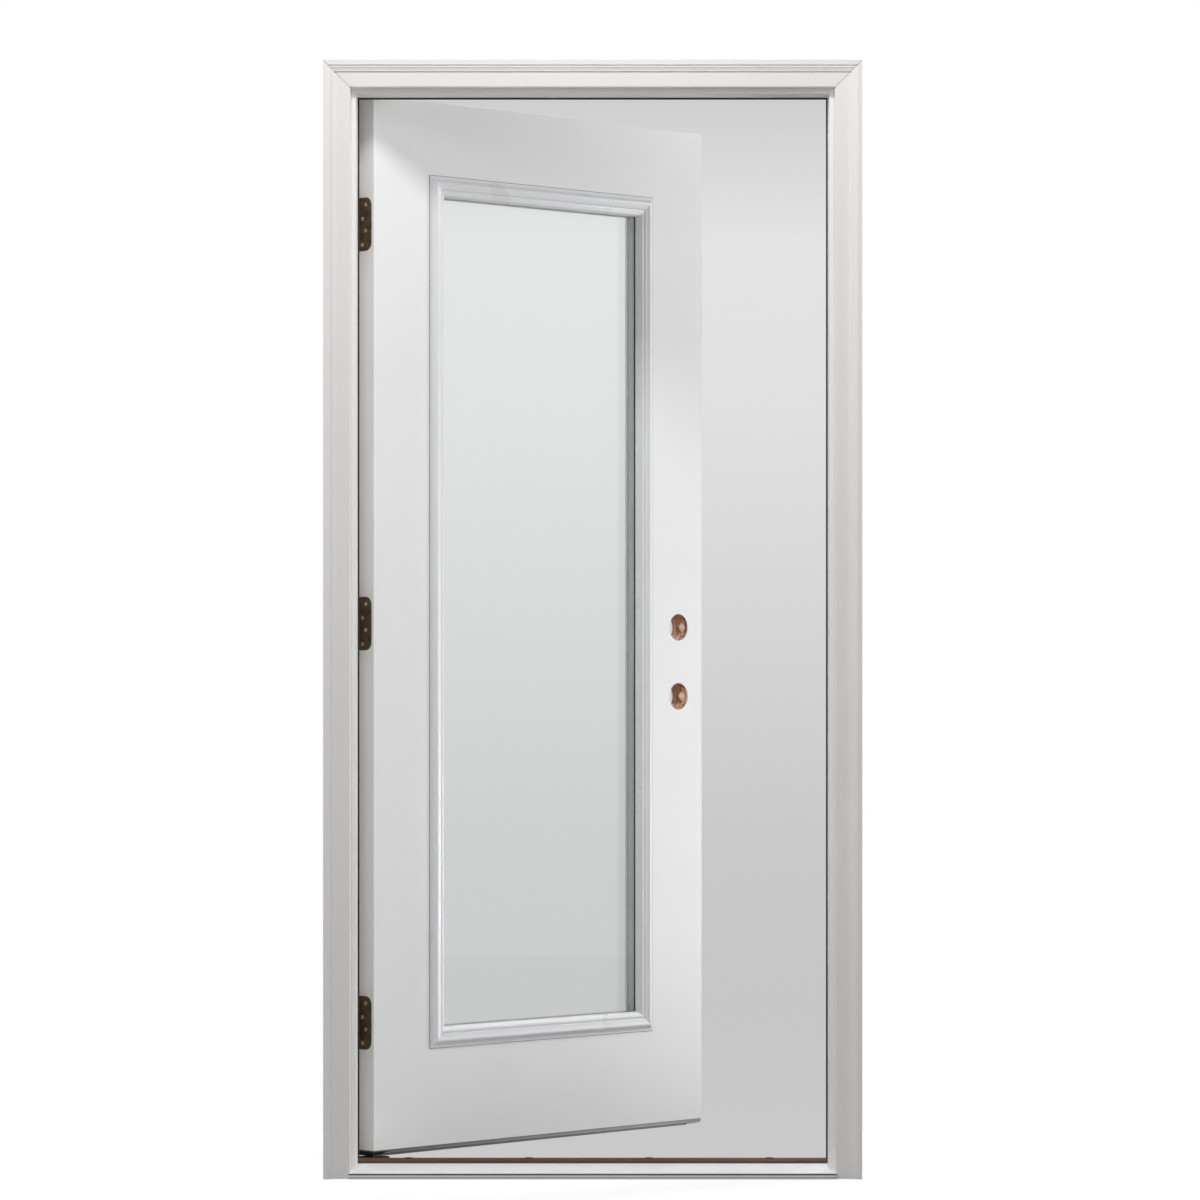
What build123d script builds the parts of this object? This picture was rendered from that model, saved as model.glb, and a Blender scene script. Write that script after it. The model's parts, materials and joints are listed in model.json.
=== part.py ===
from build123d import *
import math
import os

# Prehung entry door: a smooth fiberglass slab with one tall glass lite, hung on three butt
# hinges in a rabbeted frame with brickmould and a sloped sill, standing open into the house.
# Millimetres. X runs to the right as seen from outside, Y into the house, Z up. The origin
# is under the sill, midway between the side jambs, level with their exterior edges.

# Slab
slab_width = 904.0
slab_height = 2003.4
slab_thickness = 44.45
skin_thickness = 2.0
skin_return = 9.5
stile_width = 32.0
top_rail_height = 45.0
bottom_rail_height = 80.0
# The exterior corner of the lock edge is planed back by this much, so that it clears the jamb.
lock_bevel = 2.5

# Gaps round the shut slab, and how far the door stands open
side_gap = 5.2
head_gap = 5.0
seal_gap = 5.0
sweep_gap = 5.0
rest_opening = 45.0

# Lock preparation, heights measured from the foot of the slab
backset = 69.85
cross_bore_diameter = 53.98
edge_bore_diameter = 25.4
lockset_height = 859.2
deadbolt_spacing = 139.7
faceplate_width = 25.4
faceplate_height = 57.2
faceplate_depth = 3.0
lock_block_width = 95.0
lock_block_height = 360.0

# Lite frame, by its margins to the slab's edges, and insulating glass unit
lite_side_margin = 145.7
lite_top_margin = 140.3
lite_bottom_margin = 186.7
lite_flange_cover = 22.3
lite_face_width = 39.8
lite_leg_gap = 0.5
lite_leg_thickness = 2.2
lite_leg_meeting_gap = 0.5
glass_unit_thickness = 25.4
glass_edge_gap = 0.4
pane_thickness = 3.2
spacer_depth = 13.3
glazing_bed = 0.3

# Lite moulding: widths inward from its outer edge, heights out from the slab's face
lite_edge_rise = 1.8
lite_edge_band = 3.6
lite_crest_height = 7.2
lite_crest_start = 10.6
lite_crest_end = 14.6
lite_crest_fall = 0.6
lite_cove_sag = 0.8
lite_ogee_end = 25.0
lite_ogee_foot = 4.9
lite_ogee_sag = 0.5
lite_quirk_width = 0.7
lite_quirk_drop = 2.3
lite_ovolo_start = 30.0
lite_ovolo_height = 3.6
lite_ovolo_sag = 2.0
lite_lip_drop = 5.2

# Frame
jamb_depth = 115.9
jamb_thickness = 31.75
rabbet_depth = 12.7
rabbet_width = 57.15
kerf_width = 3.0
kerf_depth = 10.0
kerf_inset = 1.5
jamb_arris = 1.5

# Brickmould
brickmould_width = 50.8
brickmould_thickness = 31.75
brickmould_reveal = 9.5
outer_band = 9.0
outer_step = 2.4
middle_band = 4.0
cove_width = 7.5
cove_drop = 2.7
quirk_drop = 3.2
field_fall = 1.2
nose_radius = 3.5
mitre_gap = 0.4

# Sill
sill_crest = 28.6
sill_nose_foot = 4.9
sill_nose_height = 10.5
sill_nose_step = 1.0
sill_deck_rise = 8.8
sill_deck_thickness = 1.8
sill_nose_groove = 3.0
sill_nose_groove_height = 3.2
sill_base_setback = 1.2
sill_horn_gap = 0.2
sill_cap_depth = 41.0
sill_cap_front_height = 5.0
sill_cap_rail_width = 5.0
sill_cap_rail_height = 9.0
sill_cap_rail_gap = 0.3
sill_back_drop = 6.0

# Seals
strip_proud = 3.0
strip_side_gap = 0.5
strip_leg_thickness = 2.4
strip_end_gap = 0.3
sweep_height = 6.7
sweep_base_height = 2.6
sweep_edge_inset = 1.6
sweep_fin_count = 5
sweep_fin_width = 2.2
sweep_notch = 46.0

# Hinges
hinge_height = 101.6
hinge_end_margin = 191.3
leaf_thickness = 2.4
leaf_inset = 6.35
leaf_corner_radius = 15.9
leaf_mortise_gap = 0.2
knuckle_count = 5
knuckle_gap = 0.3
knuckle_clearance = 0.4
barrel_radius = 6.4
pin_radius = 3.2
pin_clearance = 0.2
pin_head_radius = 5.6
pin_head_height = 3.0
pin_offset = 8.0

# Strike preparation in the jamb
strike_width = 28.6
strike_height = 57.2
strike_depth = 1.6
strike_corner_radius = 6.35

# Planes and edges that follow from the sizes above
slab_right = slab_width / 2
slab_left = -slab_right
slab_bottom = sill_crest + sweep_gap + sweep_height
slab_top = slab_bottom + slab_height
slab_inside_y = jamb_depth
slab_outside_y = slab_inside_y - slab_thickness
slab_middle_y = slab_inside_y - slab_thickness / 2
core_outside_y = slab_outside_y + skin_thickness
core_inside_y = slab_inside_y - skin_thickness
outside_return = (slab_outside_y, slab_outside_y + skin_return)
inside_return = (slab_inside_y - skin_return, slab_inside_y)
rabbet_x = slab_right + side_gap
stop_x = rabbet_x - rabbet_depth
frame_x = stop_x + jamb_thickness
shoulder_y = jamb_depth - rabbet_width
head_rabbet_z = slab_top + head_gap
head_stop_z = head_rabbet_z - rabbet_depth
frame_top_z = head_stop_z + jamb_thickness
casing_inner_x = stop_x + brickmould_reveal
casing_outer_x = casing_inner_x + brickmould_width
casing_inner_z = head_stop_z + brickmould_reveal
casing_outer_z = casing_inner_z + brickmould_width
pin_x = slab_left - side_gap / 2
pin_y = slab_inside_y + pin_offset
leaf_end_y = slab_outside_y + leaf_inset
bore_x = slab_right - backset
lockset_z = slab_bottom + lockset_height
deadbolt_z = lockset_z + deadbolt_spacing
lite_width = slab_width - 2 * lite_side_margin
lite_height = slab_height - lite_top_margin - lite_bottom_margin
lite_middle_z = slab_bottom + lite_bottom_margin + lite_height / 2
cutout_width = lite_width - 2 * lite_flange_cover
cutout_height = lite_height - 2 * lite_flange_cover
glass_edge = lite_flange_cover + lite_leg_gap + lite_leg_thickness + glass_edge_gap
glass_width = lite_width - 2 * glass_edge
glass_height = lite_height - 2 * glass_edge
glass_recess = (slab_thickness - glass_unit_thickness) / 2
strip_thickness = slab_outside_y - seal_gap - shoulder_y
strip_foot_z = sill_crest + strip_end_gap
cap_front_y = shoulder_y
cap_back_y = cap_front_y + sill_cap_depth
deck_foot_z = sill_nose_height + sill_nose_step
deck_head_z = deck_foot_z + sill_deck_rise

LOW = (Align.MIN, Align.MIN, Align.MIN)


def block(x_range, y_range, z_range):
    """A box between two X values, two Y values and two Z values."""
    lengths = [high - low for low, high in (x_range, y_range, z_range)]
    return Pos(x_range[0], y_range[0], z_range[0]) * Box(*lengths, align=LOW)


def across_y(radius, x, z, y_range):
    """A round bar along Y."""
    length = y_range[1] - y_range[0]
    middle = (y_range[0] + y_range[1]) / 2
    return Pos(x, middle, z) * Rot(90, 0, 0) * Cylinder(radius, length)


def across_x(radius, y, z, x_range):
    """A round bar along X."""
    length = x_range[1] - x_range[0]
    middle = (x_range[0] + x_range[1]) / 2
    return Pos(middle, y, z) * Rot(0, 90, 0) * Cylinder(radius, length)


def upright(section, outer_x, z_range):
    """A section run upward: its width points toward X = 0 and its height to the exterior."""
    inward = -math.copysign(1, outer_x)
    plane = Plane(origin=(outer_x, 0, z_range[0]), x_dir=(inward, 0, 0), z_dir=(0, 0, -inward))
    return extrude(plane * section, amount=z_range[1] - z_range[0], dir=(0, 0, 1))


def crosspiece(section, outer_z, x_range, inward):
    """A section run along X: its width points up where inward is 1 and down where it is -1."""
    plane = Plane(origin=(x_range[0], 0, outer_z), x_dir=(0, 0, inward), z_dir=(inward, 0, 0))
    return extrude(plane * section, amount=x_range[1] - x_range[0], dir=(1, 0, 0))


def upright_panel(points, reach):
    """A flat outline in the plane of the door, given real thickness to both sides of Y = 0."""
    return extrude(Plane.XZ * Polygon(*points, align=None), amount=reach, both=True)


def opened(piece):
    """Swing a piece of the shut door about the hinge pins to where the door stands."""
    return Pos(pin_x, pin_y, 0) * Rot(0, 0, rest_opening) * Pos(-pin_x, -pin_y, 0) * piece


def jamb_section():
    """A rabbeted jamb, width from its back and height from its exterior edge; a kerf holds the seal."""
    rabbet = jamb_thickness - rabbet_depth
    kerf_near = rabbet + kerf_inset
    kerf_far = kerf_near + kerf_width
    kerf_floor = kerf_depth - shoulder_y
    outline = [
        (0, 0),
        (jamb_thickness, 0),
        (jamb_thickness, -shoulder_y),
        (kerf_far, -shoulder_y),
        (kerf_far, kerf_floor),
        (kerf_near, kerf_floor),
        (kerf_near, -shoulder_y),
        (rabbet, -shoulder_y),
        (rabbet, -jamb_depth),
        (0, -jamb_depth),
    ]
    section = Polygon(*outline, align=None)
    corner = section.vertices().sort_by_distance((jamb_thickness, 0, 0))[0]
    return fillet(corner, jamb_arris)


def hinge_leaf_panel(near_x, far_x, grow):
    """The leaf's plate, from its rounded end to the line of the pin, or its mortise if it grows."""
    half = hinge_height / 2 + grow
    end_y = leaf_end_y - grow
    plate = block((near_x, far_x), (end_y, pin_y), (-half, half))
    rounded = plate.edges().filter_by(Axis.X).group_by(Axis.Y)[0]
    return fillet(rounded, leaf_corner_radius + grow)


def hinge_heights():
    """Middles of the three hinges, top and bottom ones at equal margins from the slab's ends."""
    low = slab_bottom + hinge_end_margin + hinge_height / 2
    high = slab_top - hinge_end_margin - hinge_height / 2
    return {"upper": high, "middle": (low + high) / 2, "lower": low}


def jamb_mortises():
    """Recesses for the three frame leaves."""
    panel = hinge_leaf_panel(-rabbet_x - leaf_thickness, -rabbet_x, leaf_mortise_gap)
    return [Pos(0, 0, z) * panel for z in hinge_heights().values()]


def slab_mortises():
    """Recesses for the three door leaves."""
    panel = hinge_leaf_panel(slab_left, slab_left + leaf_thickness, leaf_mortise_gap)
    return [Pos(0, 0, z) * panel for z in hinge_heights().values()]


def make_hinge_jamb():
    jamb = upright(jamb_section(), -frame_x, (0, frame_top_z))
    return jamb - jamb_mortises()


def strike_cuts():
    """Bolt holes through the rabbet, each in a shallow recess for its strike plate."""
    cuts = []
    for z in (lockset_z, deadbolt_z):
        plate = block(
            (rabbet_x, rabbet_x + strike_depth),
            (slab_middle_y - strike_width / 2, slab_middle_y + strike_width / 2),
            (z - strike_height / 2, z + strike_height / 2),
        )
        cuts.append(fillet(plate.edges().filter_by(Axis.X), strike_corner_radius))
        cuts.append(across_x(edge_bore_diameter / 2, slab_middle_y, z, (rabbet_x, frame_x)))
    return cuts


def make_strike_jamb():
    return upright(jamb_section(), frame_x, (0, frame_top_z)) - strike_cuts()


def side_jamb_space():
    """The room that the two side jambs take, as the pieces between them are coped to it."""
    spaces = []
    for side in (-1, 1):
        back = sorted((side * stop_x, side * casing_outer_x))
        rabbet = sorted((side * rabbet_x, side * casing_outer_x))
        spaces.append(block(back, (0, shoulder_y), (0, frame_top_z)))
        spaces.append(block(rabbet, (shoulder_y, jamb_depth), (0, frame_top_z)))
        spaces.append(block(rabbet, (-brickmould_thickness, 0), (0, frame_top_z)))
    return spaces


def make_head_jamb():
    head = crosspiece(jamb_section(), frame_top_z, (-rabbet_x, rabbet_x), -1)
    return head - side_jamb_space()


def brickmould_section():
    """Brickmould, width from its outer edge and height from its back: bands, cove, quirk, field, nose."""
    second = brickmould_thickness - outer_step
    cove_start = outer_band + middle_band
    cove_end = cove_start + cove_width
    cove_foot = second - cove_drop
    field_start = cove_foot - quirk_drop
    field_end = field_start - field_fall
    nose_start = brickmould_width - nose_radius
    bands = Polyline(
        (0, 0),
        (0, brickmould_thickness),
        (outer_band, brickmould_thickness),
        (outer_band, second),
        (cove_start, second),
    )
    cove = SagittaArc((cove_start, second), (cove_end, cove_foot), -cove_drop / 4)
    field = Polyline((cove_end, cove_foot), (cove_end, field_start), (nose_start, field_end))
    nose = RadiusArc((nose_start, field_end), (brickmould_width, field_end - nose_radius), nose_radius)
    back = Polyline((brickmould_width, field_end - nose_radius), (brickmould_width, 0), (0, 0))
    return make_face(bands + cove + field + nose + back)


def make_side_brickmould(side):
    """One leg of the brickmould, mitred at the top."""
    leg = upright(brickmould_section(), side * casing_outer_x, (0, casing_outer_z))
    outline = [
        (side * casing_outer_x, 0),
        (side * casing_outer_x, casing_outer_z - mitre_gap),
        (side * casing_inner_x, casing_inner_z - mitre_gap),
        (side * casing_inner_x, 0),
    ]
    return (leg & upright_panel(outline, brickmould_thickness)) - sill_end_space()


def sill_end_space():
    """The notch at the foot of the brickmould's inner edge, where the end of the sill comes through."""
    front = -brickmould_thickness
    slope = sill_deck_rise / (cap_front_y - front)
    foot = deck_foot_z + sill_horn_gap
    outline = [(front, 0), (front, foot), (0, foot - slope * front), (0, 0)]
    section = Plane.YZ * Polygon(*outline, align=None)
    return extrude(section, amount=rabbet_x + sill_horn_gap, both=True)


def make_head_brickmould():
    head = crosspiece(brickmould_section(), casing_outer_z, (-casing_outer_x, casing_outer_x), -1)
    outline = [
        (-casing_outer_x, casing_outer_z),
        (casing_outer_x, casing_outer_z),
        (casing_inner_x, casing_inner_z),
        (-casing_inner_x, casing_inner_z),
    ]
    return head & upright_panel(outline, brickmould_thickness)


def run_sill(outline):
    """A sill outline in Y and Z, run from side to side and coped to the jambs and brickmould."""
    section = Plane.YZ * Polygon(*outline, align=None)
    length = extrude(section, amount=rabbet_x, both=True)
    return length - side_jamb_space()


def make_sill_deck():
    """The folded aluminium deck: a nose with a groove under its top edge, and the slope."""
    front = -brickmould_thickness
    wall = sill_deck_thickness
    groove_top = sill_nose_height
    groove_foot = sill_nose_height - sill_nose_groove_height
    outline = [
        (front, sill_nose_foot),
        (front, groove_foot),
        (front + sill_nose_groove, groove_foot),
        (front + sill_nose_groove, groove_top),
        (front, groove_top),
        (front, deck_foot_z),
        (cap_front_y, deck_head_z),
        (cap_front_y, deck_head_z - wall),
        (front + sill_nose_groove + wall, deck_foot_z - wall),
        (front + sill_nose_groove + wall, sill_nose_foot),
    ]
    return run_sill(outline)


def make_sill_base():
    """The composite base: under the deck, a seat for the cap, and the inner part of the sill."""
    wall = sill_deck_thickness
    front = -brickmould_thickness + sill_base_setback
    nose_back = -brickmould_thickness + sill_nose_groove + wall
    rail_middle = (cap_front_y + cap_back_y) / 2
    seat_z = deck_head_z - wall
    outline = [
        (front, 0),
        (front, sill_nose_foot),
        (nose_back, sill_nose_foot),
        (nose_back, deck_foot_z - wall),
        (cap_front_y, seat_z),
        (rail_middle - sill_cap_rail_width / 2, seat_z),
        (rail_middle - sill_cap_rail_width / 2, seat_z - sill_cap_rail_height),
        (rail_middle + sill_cap_rail_width / 2, seat_z - sill_cap_rail_height),
        (rail_middle + sill_cap_rail_width / 2, seat_z),
        (cap_back_y, seat_z),
        (jamb_depth, seat_z - sill_back_drop),
        (jamb_depth, 0),
    ]
    return run_sill(outline)


def make_sill_cap():
    """The adjustable cap: a crowned strip with a tongue that stands in the groove of the base."""
    foot_z = deck_head_z - sill_deck_thickness
    shoulder_z = foot_z + sill_cap_front_height
    crown = sill_crest - shoulder_z
    middle = (cap_front_y + cap_back_y) / 2
    tongue = sill_cap_rail_width / 2 - sill_cap_rail_gap
    tongue_foot = foot_z - sill_cap_rail_height + sill_cap_rail_gap
    top = ThreePointArc((cap_front_y, shoulder_z), (middle, sill_crest), (cap_back_y, shoulder_z))
    sides = Polyline(
        (cap_back_y, shoulder_z),
        (cap_back_y, foot_z),
        (middle + tongue, foot_z),
        (middle + tongue, tongue_foot),
        (middle - tongue, tongue_foot),
        (middle - tongue, foot_z),
        (cap_front_y, foot_z),
        (cap_front_y, shoulder_z),
    )
    section = Plane.YZ * make_face(top + sides)
    return extrude(section, amount=rabbet_x, both=True)


def strip_section():
    """The seal's cushion, width from the rabbet face and height toward the exterior."""
    far = rabbet_depth + strip_proud
    lip = strip_thickness / 2
    cushion = ThreePointArc(
        (strip_side_gap, -lip),
        ((strip_side_gap + far) / 2, -strip_thickness),
        (far, -lip),
    )
    sides = Polyline((far, -lip), (far, 0), (strip_side_gap, 0), (strip_side_gap, -lip))
    return Pos(0, -shoulder_y) * make_face(cushion + sides)


def strip_leg_section():
    """The seal's tongue, which stands in the kerf of the jamb."""
    near = kerf_inset + (kerf_width - strip_leg_thickness) / 2
    depth = kerf_depth - strip_end_gap
    leg = Rectangle(strip_leg_thickness, depth, align=(Align.MIN, Align.MIN))
    return Pos(near, -shoulder_y) * leg


def make_side_weatherstrip(side):
    top_z = head_stop_z - strip_proud - strip_end_gap
    cushion = upright(strip_section(), side * rabbet_x, (strip_foot_z, top_z))
    return cushion + upright(strip_leg_section(), side * rabbet_x, (strip_foot_z, top_z))


def make_head_weatherstrip():
    body_end = rabbet_x - strip_side_gap
    leg_end = stop_x - strip_end_gap
    cushion = crosspiece(strip_section(), head_rabbet_z, (-body_end, body_end), -1)
    return cushion + crosspiece(strip_leg_section(), head_rabbet_z, (-leg_end, leg_end), -1)


def make_hinge_leaf(side, odd_knuckles):
    """One leaf on the frame side (-1) or the door side (1), with its share of the knuckles."""
    near = pin_x + side * side_gap / 2
    plate = hinge_leaf_panel(*sorted((near, near + side * leaf_thickness)), 0)
    pitch = (hinge_height + knuckle_gap) / knuckle_count
    length = pitch - knuckle_gap
    reach = barrel_radius + knuckle_clearance
    own = []
    others = []
    for number in range(knuckle_count):
        place = Pos(pin_x, pin_y, (hinge_height - length) / 2 - pitch * number)
        if (number % 2 == 0) == odd_knuckles:
            own.append(place * Cylinder(barrel_radius, length))
        else:
            others.append(place * Cylinder(reach, length + 2 * knuckle_gap))
    bore = Pos(pin_x, pin_y, 0) * Cylinder(pin_radius + pin_clearance, 2 * hinge_height)
    return plate - others + own - bore


def make_hinge_pin():
    """The pin with its domed head, and a domed tip below the last knuckle."""
    top = hinge_height / 2
    foot = top + pin_head_height
    dome = pin_head_height / 2
    head = Pos(0, 0, top + pin_head_height / 2) * Cylinder(pin_head_radius, pin_head_height)
    head = fillet(head.edges().group_by(Axis.Z)[-1], dome)
    shank = Pos(0, 0, (top - foot) / 2) * Cylinder(pin_radius, top + foot)
    tip = fillet(shank.edges().group_by(Axis.Z)[0], pin_radius / 2)
    return Pos(pin_x, pin_y, 0) * (head + tip)


def lite_cutout():
    """The hole through the slab for the lite."""
    half_width = cutout_width / 2
    half_height = cutout_height / 2
    return block(
        (-half_width, half_width),
        (slab_outside_y, slab_inside_y),
        (lite_middle_z - half_height, lite_middle_z + half_height),
    )


def cross_bores():
    """The two large bores through the slab for the lockset and the deadbolt."""
    radius = cross_bore_diameter / 2
    through = (slab_outside_y, slab_inside_y)
    return [across_y(radius, bore_x, z, through) for z in (lockset_z, deadbolt_z)]


def edge_bores():
    """The two latch bores from the lock edge into the cross bores."""
    radius = edge_bore_diameter / 2
    span = (bore_x, slab_right)
    return [across_x(radius, slab_middle_y, z, span) for z in (lockset_z, deadbolt_z)]


def faceplate_mortises():
    """Recesses in the lock edge for the faceplates of the latch and the bolt."""
    cuts = []
    for z in (lockset_z, deadbolt_z):
        cuts.append(block(
            (slab_right - faceplate_depth, slab_right),
            (slab_middle_y - faceplate_width / 2, slab_middle_y + faceplate_width / 2),
            (z - faceplate_height / 2, z + faceplate_height / 2),
        ))
    return cuts


def lock_edge_bevel(z_range):
    """The wedge planed off the lock edge, deepest at the exterior face."""
    outline = [
        (slab_right - lock_bevel, slab_outside_y),
        (slab_right, slab_outside_y),
        (slab_right, slab_inside_y),
    ]
    wedge = extrude(Polygon(*outline, align=None), amount=z_range[1] - z_range[0])
    return Pos(0, 0, z_range[0]) * wedge


def skin_return_space(y_range):
    """The skin's edge, folded round the hinge stile. The lock edge has none, because it is planed."""
    return block((slab_left, slab_left + skin_thickness), y_range, (slab_bottom, slab_top))


def make_skin(y_range, return_y_range):
    """One moulded face of the slab, with the lite's hole and the cross bores."""
    sheet = block((slab_left, slab_right), y_range, (slab_bottom, slab_top))
    sheet = sheet + skin_return_space(return_y_range)
    sheet = sheet - lite_cutout() - cross_bores() - slab_mortises()
    return opened(sheet - lock_edge_bevel((slab_bottom, slab_top)))


def make_hinge_stile():
    stile = block(
        (slab_left, slab_left + stile_width),
        (core_outside_y, core_inside_y),
        (slab_bottom, slab_top),
    )
    stile = stile - skin_return_space(outside_return) - skin_return_space(inside_return)
    return opened(stile - slab_mortises())


def make_lock_stile():
    stile = block(
        (slab_right - stile_width, slab_right),
        (core_outside_y, core_inside_y),
        (slab_bottom, slab_top),
    )
    stile = stile - edge_bores() - faceplate_mortises()
    return opened(stile - lock_edge_bevel((slab_bottom, slab_top)))


def rail_span():
    """From stile to stile."""
    return (slab_left + stile_width, slab_right - stile_width)


def make_top_rail():
    z_range = (slab_top - top_rail_height, slab_top)
    return opened(block(rail_span(), (core_outside_y, core_inside_y), z_range))


def make_bottom_rail():
    z_range = (slab_bottom, slab_bottom + bottom_rail_height)
    return opened(block(rail_span(), (core_outside_y, core_inside_y), z_range))


def lock_block_space():
    """The solid wood behind the lock stile, centred on the two bores."""
    right = slab_right - stile_width
    middle_z = (lockset_z + deadbolt_z) / 2
    return block(
        (right - lock_block_width, right),
        (core_outside_y, core_inside_y),
        (middle_z - lock_block_height / 2, middle_z + lock_block_height / 2),
    )


def make_lock_block():
    return opened(lock_block_space() - cross_bores() - edge_bores())


def make_foam_core():
    """The foam that fills the slab between the stiles, the rails, the lock block and the lite."""
    z_range = (slab_bottom + bottom_rail_height, slab_top - top_rail_height)
    fill = block(rail_span(), (core_outside_y, core_inside_y), z_range)
    return opened(fill - lite_cutout() - lock_block_space())


def lite_section():
    """The moulded lite frame: width inward from its outer edge, height out from the slab's face."""
    band_end = (lite_edge_band, lite_edge_rise)
    crest_start = (lite_crest_start, lite_crest_height - lite_crest_fall)
    crest_end = (lite_crest_end, lite_crest_height)
    ogee_end = (lite_ogee_end, lite_ogee_foot)
    quirk = (lite_ogee_end + lite_quirk_width, lite_ogee_foot - lite_quirk_drop)
    ovolo_start = (lite_ovolo_start, lite_ovolo_height)
    ovolo_end = (lite_face_width, -lite_lip_drop)
    lip_back = glazing_bed - glass_recess
    leg_far = lite_flange_cover + lite_leg_gap
    leg_near = leg_far + lite_leg_thickness
    leg_foot = (lite_leg_meeting_gap - slab_thickness) / 2
    edge = Polyline((0, 0), (0, lite_edge_rise), band_end)
    cove = SagittaArc(band_end, crest_start, -lite_cove_sag)
    crest = SagittaArc(crest_start, crest_end, lite_crest_fall / 2)
    ogee = SagittaArc(crest_end, ogee_end, -lite_ogee_sag)
    step = Polyline(ogee_end, quirk, ovolo_start)
    ovolo = SagittaArc(ovolo_start, ovolo_end, lite_ovolo_sag)
    back = Polyline(
        ovolo_end,
        (lite_face_width, lip_back),
        (leg_near, lip_back),
        (leg_near, leg_foot),
        (leg_far, leg_foot),
        (leg_far, 0),
        (0, 0),
    )
    return make_face(edge + cove + crest + ogee + step + ovolo + back)


def mitred_ring(section, section_width, width, height):
    """Four lengths of a section, mitred into one frame round the origin and facing the exterior."""
    x = width / 2
    z = height / 2
    inner_x = x - section_width
    inner_z = z - section_width
    reach = slab_thickness
    sides = []
    for side in (-1, 1):
        length = upright(section, side * x, (-z, z))
        outline = [(side * x, -z), (side * inner_x, -inner_z), (side * inner_x, inner_z), (side * x, z)]
        sides.append(length & upright_panel(outline, reach))
        length = crosspiece(section, side * z, (-x, x), -side)
        outline = [(-x, side * z), (-inner_x, side * inner_z), (inner_x, side * inner_z), (x, side * z)]
        sides.append(length & upright_panel(outline, reach))
    return sides[0] + sides[1:]


def make_lite_frames():
    """The exterior lite frame, and the interior one, which is its like turned about."""
    ring = mitred_ring(lite_section(), lite_face_width, lite_width, lite_height)
    outside = Pos(0, slab_outside_y, lite_middle_z) * ring
    inside = Pos(0, slab_inside_y, lite_middle_z) * Rot(0, 0, 180) * ring
    return opened(outside), opened(inside)


def glass_sheet(y_range, edge_trim):
    """A flat upright sheet in the glass unit, smaller than it by a trim on each edge."""
    half_width = glass_width / 2 - edge_trim
    half_height = glass_height / 2 - edge_trim
    z_range = (lite_middle_z - half_height, lite_middle_z + half_height)
    return block((-half_width, half_width), y_range, z_range)


def make_glass_unit():
    """Exterior pane, interior pane, and the spacer that holds them apart round the edge."""
    outside = slab_outside_y + glass_recess
    inside = slab_inside_y - glass_recess
    gap = (outside + pane_thickness, inside - pane_thickness)
    exterior = glass_sheet((outside, gap[0]), 0)
    interior = glass_sheet((gap[1], inside), 0)
    spacer = glass_sheet(gap, 0) - glass_sheet(gap, spacer_depth)
    return opened(exterior), opened(interior), opened(spacer)


def make_door_sweep():
    """The sweep: a base strip under the slab with fins that stop short of the lock edge."""
    y_range = (slab_outside_y + sweep_edge_inset, slab_inside_y - sweep_edge_inset)
    base_z = slab_bottom - sweep_base_height
    foot_z = slab_bottom - sweep_height
    sweep = block((slab_left, slab_right), y_range, (base_z, slab_bottom))
    pitch = (y_range[1] - y_range[0] - sweep_fin_width) / (sweep_fin_count - 1)
    fins = []
    for number in range(sweep_fin_count):
        near = y_range[0] + pitch * number
        outline = [
            (near, base_z),
            (near + sweep_fin_width, base_z),
            (near + sweep_fin_width * 0.8, foot_z),
            (near + sweep_fin_width * 0.2, foot_z),
        ]
        section = Plane.YZ * Polygon(*outline, align=None)
        fin = extrude(section, amount=slab_width - sweep_notch, dir=(1, 0, 0))
        fins.append(Pos(slab_left, 0, 0) * fin)
    sweep = sweep + fins
    return opened(sweep - lock_edge_bevel((foot_z, slab_bottom)))


def build():
    """Every piece of the door, by name."""
    exterior_lite, interior_lite = make_lite_frames()
    exterior_glass, interior_glass, glass_spacer = make_glass_unit()
    pieces = {
        "hinge_jamb": make_hinge_jamb(),
        "strike_jamb": make_strike_jamb(),
        "head_jamb": make_head_jamb(),
        "left_brickmould": make_side_brickmould(-1),
        "right_brickmould": make_side_brickmould(1),
        "head_brickmould": make_head_brickmould(),
        "sill_deck": make_sill_deck(),
        "sill_base": make_sill_base(),
        "sill_cap": make_sill_cap(),
        "hinge_side_weatherstrip": make_side_weatherstrip(-1),
        "strike_side_weatherstrip": make_side_weatherstrip(1),
        "head_weatherstrip": make_head_weatherstrip(),
        "exterior_skin": make_skin((slab_outside_y, core_outside_y), outside_return),
        "interior_skin": make_skin((core_inside_y, slab_inside_y), inside_return),
        "hinge_stile": make_hinge_stile(),
        "lock_stile": make_lock_stile(),
        "top_rail": make_top_rail(),
        "bottom_rail": make_bottom_rail(),
        "lock_block": make_lock_block(),
        "foam_core": make_foam_core(),
        "exterior_lite_frame": exterior_lite,
        "interior_lite_frame": interior_lite,
        "exterior_glass": exterior_glass,
        "interior_glass": interior_glass,
        "glass_spacer": glass_spacer,
        "door_sweep": make_door_sweep(),
    }
    frame_leaf = make_hinge_leaf(-1, True)
    door_leaf = make_hinge_leaf(1, False)
    pin = make_hinge_pin()
    for name, z in hinge_heights().items():
        pieces[name + "_hinge_frame_leaf"] = Pos(0, 0, z) * frame_leaf
        pieces[name + "_hinge_door_leaf"] = opened(Pos(0, 0, z) * door_leaf)
        pieces[name + "_hinge_pin"] = Pos(0, 0, z) * pin
    return pieces


os.makedirs("parts", exist_ok=True)
for name, piece in build().items():
    export_step(piece, os.path.join("parts", name + ".step"))
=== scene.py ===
import json
import math

import bmesh
import bpy
from mathutils import Matrix, Vector


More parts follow.
